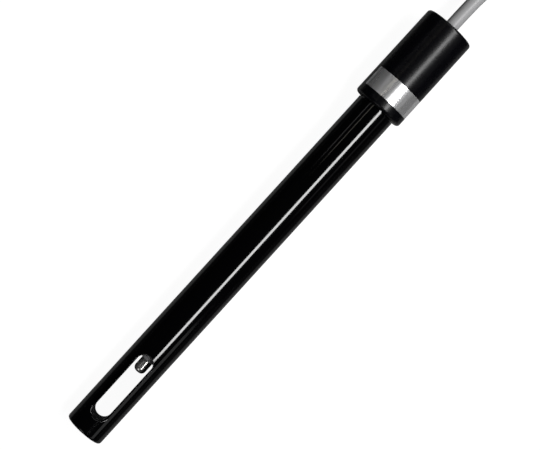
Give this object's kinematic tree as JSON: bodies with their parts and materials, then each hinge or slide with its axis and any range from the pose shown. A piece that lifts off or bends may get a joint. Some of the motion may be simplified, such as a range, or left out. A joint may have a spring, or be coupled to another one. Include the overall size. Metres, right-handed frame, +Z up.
{
  "type": "conductivity sensor",
  "caption": "Slim black dip probe that measures a liquid's conductivity: slotted nose, satin cap with a silver band, and a thin grey cable with a round plug.",
  "frame": {"origin": "on the floor that the probe lies on, under the middle of the probe's own box, its free cable left out", "axes": "+X from the slotted tip to the cable, +Y to one side, +Z up off the floor"},
  "size_m": [0.2887, 0.0366, 0.0161],
  "materials": {
    "shaft_black": "gloss",
    "cap_black": "satin",
    "foil_silver": "satin",
    "finger_steel": "polished",
    "plate_metal": "matt",
    "lead_metal": "bright",
    "bead_glass": "gloss",
    "filling_white": "matt",
    "resin_dark": "gloss",
    "sleeve_black": "matt",
    "core_red": "satin",
    "core_black": "satin",
    "core_white": "satin",
    "core_green": "satin",
    "cable_grey": "satin",
    "clamp_metal": "satin",
    "seal_grey": "matt",
    "seal_black": "matt",
    "strap_black": "matt",
    "plug_black": "matt",
    "relief_black": "matt",
    "shell_nickel": "bright",
    "insert_black": "matt",
    "pin_gold": "bright"
  },
  "bodies": {
    "root": {"shaft_body": "shaft_black", "cap": "cap_black", "silver_band": "foil_silver", "sensor_sheath": "finger_steel", "finger_seal": "seal_grey", "electrode_left": "plate_metal", "electrode_right": "plate_metal", "electrode_lead_left": "lead_metal", "electrode_lead_right": "lead_metal", "thermistor_bead": "bead_glass", "thermistor_leg_front": "lead_metal", "thermistor_leg_back": "lead_metal", "sheath_filling": "filling_white", "nose_potting": "resin_dark", "cap_potting": "resin_dark", "splice_sleeve_red": "sleeve_black", "splice_sleeve_black": "sleeve_black", "splice_sleeve_white": "sleeve_black", "splice_sleeve_green": "sleeve_black", "core_wire_red": "core_red", "core_wire_black": "core_black", "core_wire_white": "core_white", "core_wire_green": "core_green", "cable_root": "cable_grey", "cable_lead": "cable_grey", "cable_hank": "cable_grey", "cable_tail": "cable_grey", "cable_end": "cable_grey", "cord_clamp": "clamp_metal", "cable_seal": "seal_black", "hank_tie": "strap_black", "plug_relief": "relief_black", "plug_grip": "plug_black", "plug_shell": "shell_nickel", "plug_insert": "insert_black", "plug_pins": "pin_gold"}
  },
  "joints": []
}
